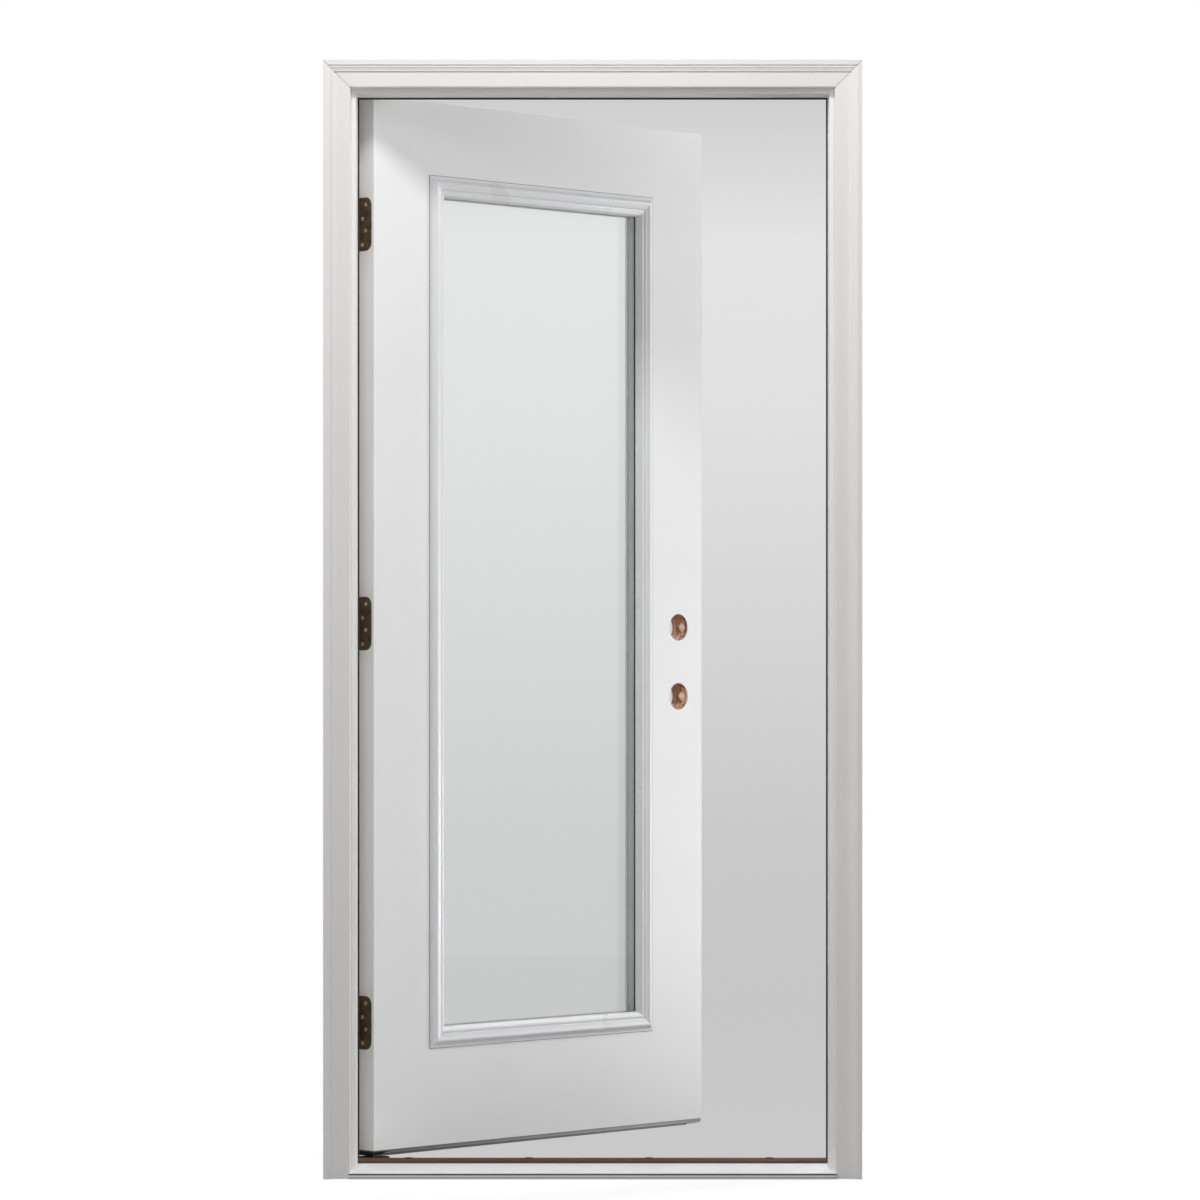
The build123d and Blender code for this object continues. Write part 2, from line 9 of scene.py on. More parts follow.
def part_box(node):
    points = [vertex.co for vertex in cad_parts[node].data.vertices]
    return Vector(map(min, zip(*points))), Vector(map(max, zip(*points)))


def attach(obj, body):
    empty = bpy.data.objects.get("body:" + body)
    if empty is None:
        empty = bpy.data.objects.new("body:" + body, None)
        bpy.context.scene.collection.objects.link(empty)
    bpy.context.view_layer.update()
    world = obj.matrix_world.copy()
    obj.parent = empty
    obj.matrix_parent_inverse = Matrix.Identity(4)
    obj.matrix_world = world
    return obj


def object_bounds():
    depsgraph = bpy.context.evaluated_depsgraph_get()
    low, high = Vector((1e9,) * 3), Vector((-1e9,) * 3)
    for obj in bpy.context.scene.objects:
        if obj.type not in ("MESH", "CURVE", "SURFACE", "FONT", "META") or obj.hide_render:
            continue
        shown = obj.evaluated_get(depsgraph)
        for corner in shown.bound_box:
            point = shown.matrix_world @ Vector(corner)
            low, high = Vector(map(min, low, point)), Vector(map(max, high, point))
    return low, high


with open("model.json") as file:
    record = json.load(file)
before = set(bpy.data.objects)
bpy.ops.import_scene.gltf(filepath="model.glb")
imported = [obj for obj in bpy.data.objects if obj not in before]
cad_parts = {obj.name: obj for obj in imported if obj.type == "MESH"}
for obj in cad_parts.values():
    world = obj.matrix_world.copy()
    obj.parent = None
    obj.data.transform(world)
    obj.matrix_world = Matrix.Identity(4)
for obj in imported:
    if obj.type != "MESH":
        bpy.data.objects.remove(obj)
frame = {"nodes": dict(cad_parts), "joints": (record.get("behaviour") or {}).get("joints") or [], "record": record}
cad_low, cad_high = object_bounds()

# Prehung entry door, standing open into the house. Metres, in the model's own frame:
# X to the right as seen from outside, Y into the house, Z up.

MM = 0.001

# Camera, placed as for the photograph: level, in front of the doorway
CAMERA_PLACE = (0.0, -8.642, 0.963)
CAMERA_LENS = 137.97
CAMERA_SENSOR = 36.0
CAMERA_SHIFT = (0.0061, 0.0542)
CAMERA_REACH = 100

# Sizes that the added pieces share with the solids
REST_OPENING = math.radians(45)
SLAB_THICKNESS = 44.45 * MM
SLAB_WIDTH = 904.0 * MM
SIDE_GAP = 5.2 * MM
PIN_OFFSET = 8.0 * MM
LOCK_BEVEL = 2.5 * MM
LEAF_INSET = 6.35 * MM
LITE_SIDE_MARGIN = 145.7 * MM

pin = Vector(frame["joints"][0]["pos_m"])
# Takes a place in the shut door, measured from the pins, to where the open door has it.
DOOR_POSE = Matrix.Translation(pin) @ Matrix.Rotation(REST_OPENING, 4, "Z")


def set_camera():
    data = bpy.data.cameras.new("camera")
    data.lens = CAMERA_LENS
    data.sensor_width = CAMERA_SENSOR
    data.sensor_fit = "HORIZONTAL"
    data.shift_x, data.shift_y = CAMERA_SHIFT
    data.clip_end = CAMERA_REACH
    camera = bpy.data.objects.new("camera", data)
    camera.location = CAMERA_PLACE
    camera.rotation_euler = (math.radians(90), 0, 0)
    bpy.context.scene.collection.objects.link(camera)
    bpy.context.scene.camera = camera


# Most values of a noise lie between these two.
NOISE_MIDDLE = (0.3, 0.7)


class Nodes:
    """A node tree, emptied, with short calls for the nodes that the studio and finishes share."""

    def __init__(self, tree):
        self.tree = tree
        self.tree.nodes.clear()

    def add(self, kind):
        return self.tree.nodes.new("ShaderNode" + kind)

    def link(self, source, target):
        self.tree.links.new(source, target)

    def math(self, operation, first, second=None):
        node = self.add("Math")
        node.operation = operation
        for socket, value in zip(node.inputs, (first, second)):
            if isinstance(value, bpy.types.NodeSocket):
                self.link(value, socket)
            elif value is not None:
                socket.default_value = value
        return node.outputs[0]

    def spread(self, value, low, high, start=0.0, end=1.0):
        """Maps a value that runs from start to end onto low to high."""
        node = self.add("MapRange")
        node.inputs["From Min"].default_value = start
        node.inputs["From Max"].default_value = end
        node.inputs["To Min"].default_value = low
        node.inputs["To Max"].default_value = high
        self.link(value, node.inputs["Value"])
        return node.outputs["Result"]

    def ramp(self, value, stops):
        """Colours along a value; each stop is a place on the ramp and the colour there."""
        node = self.add("ValToRGB")
        elements = node.color_ramp.elements
        while len(elements) < len(stops):
            elements.new(1.0)
        for element, (place, color) in zip(elements, stops):
            element.position = place
            element.color = (*color, 1)
        self.link(value, node.inputs["Fac"])
        return node.outputs["Color"]

    def axes(self, vector):
        node = self.add("SeparateXYZ")
        self.link(vector, node.inputs[0])
        return tuple(node.outputs)

    def either(self, share, first, second):
        """Two shaders, the second where the share is 1."""
        node = self.add("MixShader")
        self.link(share, node.inputs["Fac"])
        self.link(first, node.inputs[1])
        self.link(second, node.inputs[2])
        return node.outputs[0]


class Finish(Nodes):
    """A material with one principled shader."""

    def __init__(self, name):
        self.material = bpy.data.materials.new(name)
        self.material.use_nodes = True
        super().__init__(self.material.node_tree)
        self.shader = self.add("BsdfPrincipled")
        self.output = self.add("OutputMaterial")
        self.show(self.shader.outputs[0])

    def show(self, surface):
        self.link(surface, self.output.inputs["Surface"])

    def set(self, **values):
        for name, value in values.items():
            self.shader.inputs[name.replace("_", " ")].default_value = value

    def place(self, scale=(1, 1, 1), turn=0.0):
        """Object coordinates, turned about Z and scaled."""
        coordinates = self.add("TexCoord")
        turned = self.add("Mapping")
        turned.inputs["Rotation"].default_value = (0, 0, -turn)
        scaled = self.add("Mapping")
        scaled.inputs["Scale"].default_value = scale
        self.link(coordinates.outputs["Object"], turned.inputs["Vector"])
        self.link(turned.outputs["Vector"], scaled.inputs["Vector"])
        return scaled.outputs["Vector"]

    def noise(self, vector, scale, detail=2.0, roughness=0.5, distortion=0.0):
        node = self.add("TexNoise")
        node.inputs["Scale"].default_value = scale
        node.inputs["Detail"].default_value = detail
        node.inputs["Roughness"].default_value = roughness
        node.inputs["Distortion"].default_value = distortion
        self.link(vector, node.inputs["Vector"])
        return node.outputs["Fac"]

    def blend(self, value, first, second, start=NOISE_MIDDLE[0], end=NOISE_MIDDLE[1]):
        """Two colours, the second where the value is high."""
        return self.ramp(value, ((start, first), (end, second)))

    def mix(self, share, first, second):
        """Two colours, each a socket or a plain value, the second where the share is 1."""
        node = self.add("Mix")
        node.data_type = "RGBA"
        self.link(share, node.inputs["Factor"])
        for socket, value in ((node.inputs[6], first), (node.inputs[7], second)):
            if isinstance(value, tuple):
                socket.default_value = (*value, 1)
            else:
                self.link(value, socket)
        return node.outputs[2]

    def color(self, source):
        self.link(source, self.shader.inputs["Base Color"])

    def rough(self, noise, level, under, over):
        """Roughness that goes a little under and over a level with a noise."""
        source = self.spread(noise, level - under, level + over, *NOISE_MIDDLE)
        self.link(source, self.shader.inputs["Roughness"])

    def bump(self, height, strength, distance):
        node = self.add("Bump")
        node.inputs["Strength"].default_value = strength
        node.inputs["Distance"].default_value = distance
        self.link(height, node.inputs["Height"])
        self.link(node.outputs["Normal"], self.shader.inputs["Normal"])


# Scales that draw a grain out along one axis
ALONG_X = (0.03, 1, 1)
ALONG_Z = (1, 1, 0.03)
DRAWN_ALONG_X = (0.01, 1, 1)
LAYERS_ALONG_Z = (1, 1, 0.06)
BORE_GRAIN_ALONG_Z = (1, 1, 0.08)
PORES_ALONG_Z = (1, 1, 0.12)

# Noises that several finishes share
STREAKS = {"scale": 90.0, "detail": 5.0, "roughness": 0.6}
CLOUDS = {"scale": 4.0, "detail": 3.0}
FINE_GRAIN = {"scale": 260.0, "detail": 4.0, "roughness": 0.6}


def shade(color, factor):
    return tuple(channel * factor for channel in color)


def grey(level):
    return (level, level, level)


def streaked_surface(finish, streaks, roughness):
    """Sheen and relief of a surface with fine streaks."""
    finish.rough(streaks, roughness, 0.05, 0.08)
    finish.bump(streaks, 0.035, 0.3 * MM)


def grained_surface(finish, grain, roughness):
    """Sheen and relief of extruded vinyl or rubber."""
    finish.rough(grain, roughness, 0.06, 0.1)
    finish.bump(grain, 0.12, 0.3 * MM)


def clouded(finish, color):
    """White composite or primer with a faint clouding."""
    return finish.blend(finish.noise(finish.place(), **CLOUDS), shade(color, 0.965), color, 0.25, 0.7)


def along_the_open_door(finish):
    """A spot's distance along the open door's direction, the pins' own distance, and its height."""
    along, _, z = finish.axes(finish.place(turn=REST_OPENING))
    pins = pin.x * math.cos(REST_OPENING) + pin.y * math.sin(REST_OPENING)
    return along, pins, z


def white_paint(name, color, roughness, peel=0.05):
    """Satin white over a moulded surface: faint clouding, fine orange peel."""
    finish = Finish(name)
    clouds = finish.noise(finish.place(), 5.0, 4.0)
    finish.color(finish.blend(clouds, shade(color, 0.975), color, 0.25, 0.7))
    finish.rough(finish.noise(finish.place(), 14.0, 3.0), roughness, 0.04, 0.05)
    finish.bump(finish.noise(finish.place(), 700.0, 2.0), peel, 0.4 * MM)
    return finish.material


def grained_white(name, color, roughness, along):
    """White composite or primed wood whose length shows as faint fine streaks."""
    finish = Finish(name)
    finish.color(clouded(finish, color))
    streaked_surface(finish, finish.noise(finish.place(along), **STREAKS), roughness)
    return finish.material


# The hairline of the mitre lies where X from the middle less Z is this.
MITRE_OFFSET = cad_high.x - cad_high.z
MITRE_LINE = 0.45 * MM
MITRE_SHADE = 0.25


def mitred_white(name, color, roughness, along):
    """Casing white with the hairline of the mitre."""
    finish = Finish(name)
    x, _, z = finish.axes(finish.place())
    across = finish.math("SUBTRACT", finish.math("ABSOLUTE", x), z)
    away = finish.math("ABSOLUTE", finish.math("SUBTRACT", across, MITRE_OFFSET))
    hairline = finish.spread(away, 1.0, 0.0, 0.0, 2 * MITRE_LINE)
    finish.color(finish.mix(hairline, clouded(finish, color), shade(color, MITRE_SHADE)))
    streaked_surface(finish, finish.noise(finish.place(along), **STREAKS), roughness)
    return finish.material


EDGE_SKIN = 1.2 * MM


def bored_edge(name, color, roughness, wood):
    """The lock edge: white on its face, bare wood in the bores behind it."""
    finish = Finish(name)
    streaks = finish.noise(finish.place(ALONG_Z), **STREAKS)
    grain = finish.noise(finish.place(BORE_GRAIN_ALONG_Z, REST_OPENING), 260.0, 5.0, 0.6)
    along, pins, _ = along_the_open_door(finish)
    face = pins + SIDE_GAP / 2 + SLAB_WIDTH - LOCK_BEVEL
    painted = finish.blend(streaks, shade(color, 0.97), color)
    bare = finish.blend(grain, shade(wood, 0.7), wood)
    inside = finish.math("LESS_THAN", along, face - EDGE_SKIN)
    finish.color(finish.mix(inside, painted, bare))
    streaked_surface(finish, streaks, roughness)
    return finish.material


# The groove across the nose of the sill: its foot and top, and the lip in front of it
GROOVE_HEIGHTS = (7.2 * MM, 9.5 * MM)
GROOVE_LIP = 0.4 * MM


def mill_aluminium(name, color, metallic, groove_shade):
    """Mill-finish sheet with drawing lines along its length, and painted shade in the groove of its nose."""
    finish = Finish(name)
    lines = finish.noise(finish.place(DRAWN_ALONG_X), 1400.0, 3.0, 0.7)
    clouds = finish.noise(finish.place(), 9.0, 3.0)
    _, y, z = finish.axes(finish.place())
    low, high = GROOVE_HEIGHTS
    above = finish.math("GREATER_THAN", z, low)
    below = finish.math("LESS_THAN", z, high)
    behind = finish.math("GREATER_THAN", y, cad_low.y + GROOVE_LIP)
    inside = finish.math("MULTIPLY", finish.math("MULTIPLY", above, below), behind)
    # Painted shade: the inside of the nose's groove takes a dark grey, as the shaded recess would look.
    finish.color(finish.mix(inside, finish.blend(clouds, shade(color, 0.94), color), groove_shade))
    finish.rough(lines, 0.4, 0.08, 0.12)
    finish.bump(lines, 0.05, 0.1 * MM)
    finish.set(Metallic=metallic)
    return finish.material


def vinyl(name, dark, light, roughness, along=(1, 1, 1), sheen=0.5):
    """Extruded vinyl or soft seal: fine grain along its length, a little lighter where it is worn."""
    finish = Finish(name)
    grain = finish.noise(finish.place(along), **FINE_GRAIN)
    finish.color(finish.blend(grain, dark, light, 0.35, 0.75))
    grained_surface(finish, grain, roughness)
    finish.set(Specular_IOR_Level=sheen)
    return finish.material


SWEEP_SEAM = 39.1 * MM
SWEEP_SEAM_SHADE = 0.3
# How far from the pins the painted shade at the hinges fades out.
SWEEP_SHADE_REACH = 0.8 * SLAB_WIDTH
SWEEP_WEAR = 1.3


def sweep_rubber(name, near, far, roughness):
    """Sweep vinyl with painted shade: darker towards the hinges and in a band along its seam with the slab."""
    finish = Finish(name)
    along, pins, z = along_the_open_door(finish)
    # Painted shade: darker towards the hinges, fading out along the door.
    out_of_shade = finish.spread(along, 0.0, 1.0, pins, pins + SWEEP_SHADE_REACH)
    grain = finish.noise(finish.place(), **FINE_GRAIN)
    wear = finish.spread(grain, 0.0, 0.15, 0.35, 0.75)
    body = finish.mix(wear, finish.mix(out_of_shade, near, far), shade(far, SWEEP_WEAR))
    # Painted shade: a darker band along the seam, under the slab's edge.
    seam = finish.math("GREATER_THAN", z, SWEEP_SEAM)
    finish.color(finish.mix(seam, body, shade(far, SWEEP_SEAM_SHADE)))
    grained_surface(finish, grain, roughness)
    return finish.material


def rubbed_metal(name, dark, warm, roughness, metallic):
    """Bronze plate or screw metal, rubbed through to a lighter tone in patches."""
    finish = Finish(name)
    patches = finish.noise(finish.place(), 70.0, 5.0, 0.65, 0.4)
    fine = finish.noise(finish.place(), 900.0, 3.0)
    finish.color(finish.blend(patches, dark, warm, 0.4, 0.72))
    finish.rough(fine, roughness, 0.06, 0.1)
    finish.bump(fine, 0.08, 0.15 * MM)
    finish.set(Metallic=metallic)
    return finish.material


def laminated_wood(name, dark, light):
    """Reddish wood in thin laminations that run up and down, with fine pores."""
    finish = Finish(name)
    layers = finish.noise(finish.place(LAYERS_ALONG_Z, REST_OPENING), 170.0, 5.0, 0.65, 0.6)
    pores = finish.noise(finish.place(PORES_ALONG_Z, REST_OPENING), 1100.0, 3.0)
    finish.color(finish.blend(layers, dark, light, 0.36, 0.66))
    finish.rough(pores, 0.6, 0.1, 0.15)
    finish.bump(pores, 0.35, 0.4 * MM)
    return finish.material


def rigid_foam(name, color):
    """The core of the slab: dull foam with fine cells."""
    finish = Finish(name)
    cells = finish.noise(finish.place(), 500.0, 3.0)
    finish.color(finish.blend(cells, shade(color, 0.85), color))
    finish.bump(cells, 0.5, 0.5 * MM)
    finish.set(Roughness=0.9)
    return finish.material


def clear_glass(name, tint):
    """Clear float glass; a faint waviness shows in its reflections."""
    finish = Finish(name)
    finish.set(Base_Color=(*tint, 1), Roughness=0.0, IOR=1.5, Transmission_Weight=1.0)
    finish.bump(finish.noise(finish.place(), 3.0, 1.0), 0.02, 0.3 * MM)
    return finish.material


# Colours; a pair runs from a finish's dark parts to its light ones.
FRAME_WHITE = (0.81, 0.79, 0.775)
SLAB_WHITE = (0.84, 0.842, 0.84)
EDGE_WHITE = (0.85, 0.847, 0.84)
LITE_WHITE = (0.77, 0.775, 0.79)
BARE_WOOD = (0.90, 0.66, 0.52)
BLOCK_WOODS = ((0.16, 0.052, 0.026), (0.86, 0.53, 0.34))
SILL_METAL = (0.96, 0.96, 0.965)
# Dark grey painted into the sill's groove as shade.
GROOVE_PAINTED_SHADE = grey(0.1)
COMPOSITE_GREYS = (grey(0.62), grey(0.7))
CAP_BROWNS = ((0.085, 0.042, 0.022), (0.115, 0.06, 0.034))
SEAL_BLACKS = ((0.02, 0.016, 0.014), (0.03, 0.025, 0.022))
BEAD_BLACKS = (grey(0.012), grey(0.02))
# Dark grey of the sealant bead round the lite frame: painted shadow of the gap at its edge.
CAULK_SHADOW_GREYS = ((0.15, 0.15, 0.16), (0.22, 0.22, 0.23))
SPACER_GREYS = ((0.43, 0.455, 0.435), (0.5, 0.525, 0.505))
# The sweep's dark tone near the hinges is painted shade.
SWEEP_GREYS = ((0.11, 0.09, 0.085), (0.46, 0.43, 0.42))
# The fin tips are darker still: painted shade under the sweep.
FIN_GREYS = ((0.025, 0.022, 0.022), (0.13, 0.12, 0.117))
LOOSE_END_GREYS = (grey(0.36), grey(0.42))
BRONZES = ((0.13, 0.088, 0.052), (0.22, 0.155, 0.1))
# Light screw metal: partly wear rubbed through, partly a painted highlight so that the heads read as bright
# glints.
WORN_AND_GLINTING_METALS = ((0.5, 0.44, 0.36), (0.9, 0.85, 0.77))
CORE_FOAM = (0.75, 0.66, 0.42)
GLASS_TINT = (0.975, 0.99, 0.982)

FRAME_ROUGHNESS = 0.42
EDGE_ROUGHNESS = 0.55

finishes = {
    "white_frame": grained_white("white_frame", FRAME_WHITE, FRAME_ROUGHNESS, ALONG_Z),
    "white_head": grained_white("white_head", FRAME_WHITE, FRAME_ROUGHNESS, ALONG_X),
    "casing_leg": mitred_white("casing_leg", FRAME_WHITE, FRAME_ROUGHNESS, ALONG_Z),
    "casing_head": mitred_white("casing_head", FRAME_WHITE, FRAME_ROUGHNESS, ALONG_X),
    "white_slab": white_paint("white_slab", SLAB_WHITE, roughness=0.4),
    "white_edge": grained_white("white_edge", EDGE_WHITE, EDGE_ROUGHNESS, ALONG_Z),
    "lite_frame": white_paint("lite_frame", LITE_WHITE, roughness=0.3, peel=0.03),
    "lock_edge": bored_edge("lock_edge", EDGE_WHITE, EDGE_ROUGHNESS, BARE_WOOD),
    "sill_aluminium": mill_aluminium("sill_aluminium", SILL_METAL, 0.12, GROOVE_PAINTED_SHADE),
    "sill_composite": vinyl("sill_composite", *COMPOSITE_GREYS, roughness=0.7),
    "brown_cap": vinyl("brown_cap", *CAP_BROWNS, roughness=0.6, along=ALONG_X, sheen=0.2),
    "dark_seal": vinyl("dark_seal", *SEAL_BLACKS, roughness=0.75, along=ALONG_Z),
    "sweep_vinyl": sweep_rubber("sweep_vinyl", *SWEEP_GREYS, roughness=0.6),
    "sweep_tip": sweep_rubber("sweep_tip", *FIN_GREYS, roughness=0.6),
    "sweep_end": vinyl("sweep_end", *LOOSE_END_GREYS, roughness=0.6),
    "bronze": rubbed_metal("bronze", *BRONZES, roughness=0.42, metallic=0.45),
    "worn_and_glinting_metal": rubbed_metal("worn_and_glinting_metal", *WORN_AND_GLINTING_METALS, roughness=0.3, metallic=0.1),
    "block_wood": laminated_wood("block_wood", *BLOCK_WOODS),
    "foam": rigid_foam("foam", CORE_FOAM),
    "clear_glass": clear_glass("clear_glass", GLASS_TINT),
    "spacer": vinyl("spacer", *SPACER_GREYS, roughness=0.5, along=ALONG_Z),
    "caulk_shadow_line": vinyl("caulk_shadow_line", *CAULK_SHADOW_GREYS, roughness=0.7, sheen=0.2),
    "seal_bead": vinyl("seal_bead", *BEAD_BLACKS, roughness=0.7, sheen=0.12),
}


def dress_solids():
    """Each node takes the finish of its slot, but for a few that have their own."""
    own_finish = {
        "head_jamb": "white_head",
        "head_brickmould": "casing_head",
        "left_brickmould": "casing_leg",
        "right_brickmould": "casing_leg",
        "lock_stile": "lock_edge",
    }
    for entry in frame["record"]["subparts"]:
        node = frame["nodes"][entry["node"]]
        finish = own_finish.get(entry["node"], entry["material_slot"])
        node.data.materials.clear()
        node.data.materials.append(finishes[finish])


def add_object(name, mesh_data, material):
    mesh = bpy.data.meshes.new(name)
    mesh_data.to_mesh(mesh)
    mesh_data.free()
    piece = bpy.data.objects.new(name, mesh)
    bpy.context.scene.collection.objects.link(piece)
    mesh.materials.append(material)
    return piece


def new_piece(name, mesh_data, body, slot, finish=None):
    """A visible piece that moves with a body, in the finish of its slot or one of its own."""
    bmesh.ops.recalc_face_normals(mesh_data, faces=mesh_data.faces)
    piece = add_object(name, mesh_data, finishes[finish or slot])
    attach(piece, body)
    return piece


def stage_piece(name, mesh_data, material):
    piece = add_object(name, mesh_data, material)
    return piece


def facing(origin, normal, up):
    """A matrix whose Z points along the normal and whose Y points up, at the origin."""
    z_axis = Vector(normal).normalized()
    y_axis = Vector(up).normalized()
    x_axis = y_axis.cross(z_axis).normalized()
    turn = Matrix((x_axis, y_axis, z_axis)).transposed().to_4x4()
    return Matrix.Translation(Vector(origin)) @ turn


def door_place(x, y, z):
    """Takes X and Y measured from the pins of the shut door, and a height, to the open door."""
    return DOOR_POSE @ Vector((x, y, z - pin.z))


def slab_place(along, depth, z):
    """A spot on the open door: along from its hinge edge, depth from its outside face."""
    return door_place(SIDE_GAP / 2 + along, depth - PIN_OFFSET - SLAB_THICKNESS, z)


def add_ring(mesh_data, radius, z, pose, sides):
    ring = []
    for step in range(sides):
        angle = 2 * math.pi * step / sides
        place = Vector((radius * math.cos(angle), radius * math.sin(angle), z))
        ring.append(mesh_data.verts.new(pose @ place))
    return ring


def join_loops(mesh_data, lower, upper):
    count = len(lower)
    for step in range(count):
        following = (step + 1) % count
        mesh_data.faces.new((lower[step], lower[following], upper[following], upper[step]))


def add_loft(mesh_data, loops):
    """A closed skin over loops of the same number of corners, capped at both ends."""
    for lower, upper in zip(loops, loops[1:]):
        join_loops(mesh_data, lower, upper)
    mesh_data.faces.new(list(reversed(loops[0])))
    mesh_data.faces.new(loops[-1])


def loop_edges(mesh_data, ring):
    return [mesh_data.edges.get((a, b)) or mesh_data.edges.new((a, b))
            for a, b in zip(ring, ring[1:] + ring[:1])]


# Hinge screws
HEAD_RADIUS = 3.4 * MM
HEAD_RISE = 0.35 * MM
HEAD_CHAMFER = 0.5 * MM
HEAD_SIDES = 28
CROSS_ARM = 2.1 * MM
CROSS_HALF_WIDTH = 0.65 * MM
CROSS_DEPTH = 1.1 * MM
CROSS_TAPER = 0.55
SCREW_DROPS = (13.9 * MM, 40.4 * MM, 63.0 * MM, 90.1 * MM)
OUTER_ROW = 16.5 * MM
INNER_ROW = 25.5 * MM
FIRST_SCREW_TURN = 0.4
NEXT_SCREW_TURN = 0.9


def cross_outline(scale, z, pose, turn):
    """The twelve corners of a cross recess, in order."""
    arm = CROSS_ARM * scale
    half = CROSS_HALF_WIDTH * scale
    quarter = [(arm, -half), (arm, half), (half, half)]
    corners = []
    for step in range(4):
        rotation = Matrix.Rotation(turn + step * math.pi / 2, 3, "Z")
        corners.extend(pose @ (rotation @ Vector((x, y, z))) for x, y in quarter)
    return corners


def add_screw_head(mesh_data, pose, turn):
    """A flat countersunk head with a chamfered rim and a cross recess in the second material."""
    skirt = add_ring(mesh_data, HEAD_RADIUS + HEAD_CHAMFER, -HEAD_CHAMFER, pose, HEAD_SIDES)
    rim = add_ring(mesh_data, HEAD_RADIUS + HEAD_CHAMFER / 2, HEAD_RISE / 2, pose, HEAD_SIDES)
    top = add_ring(mesh_data, HEAD_RADIUS, HEAD_RISE, pose, HEAD_SIDES)
    join_loops(mesh_data, skirt, rim)
    join_loops(mesh_data, rim, top)
    mesh_data.faces.new(list(reversed(skirt)))
    mouth = [mesh_data.verts.new(p) for p in cross_outline(1.0, HEAD_RISE, pose, turn)]
    bottom = cross_outline(CROSS_TAPER, HEAD_RISE - CROSS_DEPTH, pose, turn)
    floor = [mesh_data.verts.new(p) for p in bottom]
    edges = loop_edges(mesh_data, top) + loop_edges(mesh_data, mouth)
    bmesh.ops.triangle_fill(mesh_data, use_beauty=True, use_dissolve=False, edges=edges)
    head_faces = len(mesh_data.faces)
    join_loops(mesh_data, floor, mouth)
    mesh_data.faces.new(floor)
    mesh_data.faces.ensure_lookup_table()
    for face in mesh_data.faces[head_faces:]:
        face.material_index = 1


def leaf_screws(level):
    """Four screws in each leaf of a hinge, staggered in two rows."""
    _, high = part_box(level + "_hinge_frame_leaf")
    leaf_end = -(PIN_OFFSET + SLAB_THICKNESS - LEAF_INSET)
    bases = {"frame": Matrix.Translation(pin), "door": DOOR_POSE}
    for body, side in (("frame", -1), ("door", 1)):
        mesh_data = bmesh.new()
        for number, drop in enumerate(SCREW_DROPS):
            row = OUTER_ROW if number % 2 == 0 else INNER_ROW
            place = (side * SIDE_GAP / 2, leaf_end + row, high[2] - drop - pin.z)
            pose = bases[body] @ facing(place, (-side, 0, 0), (0, 0, 1))
            add_screw_head(mesh_data, pose, FIRST_SCREW_TURN + NEXT_SCREW_TURN * number)
        name = level + "_hinge_" + body + "_leaf_screws"
        # The heads take the light screw metal, wear as well as a painted highlight; the cross recess keeps the
        # dark bronze.
        screws = new_piece(name, mesh_data, body, "bronze", "worn_and_glinting_metal")
        screws.data.materials.append(finishes["bronze"])


def lite_window():
    """Middle and half size of the lite frame's outline, X measured from the pins in the shut door."""
    low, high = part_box("exterior_lite_frame")
    half_width = SLAB_WIDTH / 2 - LITE_SIDE_MARGIN
    half_height = (high[2] - low[2]) / 2
    return SIDE_GAP / 2 + SLAB_WIDTH / 2, (low[2] + high[2]) / 2, half_width, half_height


def lite_ring(name, outer, inner, depths, slot, finish):
    """A rectangular ring round the lite, between two margins from its outer edge and two depths."""
    mesh_data = bmesh.new()
    x_middle, z_middle, half_width, half_height = lite_window()
    loops = []
    for margin in (outer, inner):
        for depth in depths:
            corners = []
            for x_side, z_side in ((-1, -1), (1, -1), (1, 1), (-1, 1)):
                x = x_middle + x_side * (half_width - margin)
                z = z_middle + z_side * (half_height - margin)
                place = door_place(x, depth - PIN_OFFSET - SLAB_THICKNESS, z)
                corners.append(mesh_data.verts.new(place))
            loops.append(corners)
    outer_front, outer_back, inner_front, inner_back = loops
    join_loops(mesh_data, outer_front, outer_back)
    join_loops(mesh_data, outer_back, inner_back)
    join_loops(mesh_data, inner_back, inner_front)
    join_loops(mesh_data, inner_front, outer_front)
    return new_piece(name, mesh_data, "door", slot, finish)


# Seal and sealant of the lite; the sealant's dark grey is a painted shadow line round the frame
GLASS_RECESS = 9.525 * MM
PANE = 3.2 * MM
PANE_GAP = 0.05 * MM
SEAL_DEPTH = 3.2 * MM
SEAL_MARGIN = 38.7 * MM
SEAL_PROUD = 0.3 * MM
CAULK_WIDTH = 1.1 * MM
CAULK_UNDER = 0.2 * MM
CAULK_PROUD = 0.35 * MM


def glazing_lines():
    """The dark seal that shows on the spacer behind the outside pane."""
    pane_back = GLASS_RECESS + PANE
    lite_ring("exterior_glazing_seal", SEAL_MARGIN - SEAL_PROUD, SEAL_MARGIN + SEAL_PROUD,
              (pane_back + PANE_GAP, pane_back + SEAL_DEPTH), "dark_seal", "seal_bead")


def lite_caulk_shadow_line():
    """The fine bead of sealant where the exterior lite frame meets the skin, dark grey as a painted shadow line.
    """
    lite_ring("exterior_lite_caulk_shadow_line", -CAULK_WIDTH, CAULK_UNDER, (-CAULK_PROUD, CAULK_WIDTH),
              "lite_frame", "caulk_shadow_line")


# The sweep's fins and where they end
SWEEP_TOP = 37.9 * MM
SWEEP_FOOT = 33.6 * MM
SWEEP_TIP = 29.6 * MM
SWEEP_INSET = 1.6 * MM
SWEEP_NOTCH = 46.0 * MM
FINS = 5
FIN_MARGIN = 1.1 * MM
FIN_SEAT = 0.4 * MM
FIN_ROOT = 1.3 * MM
FIN_TIP = 0.7 * MM
FIN_CURL = 0.8 * MM
FIN_STEPS = 4


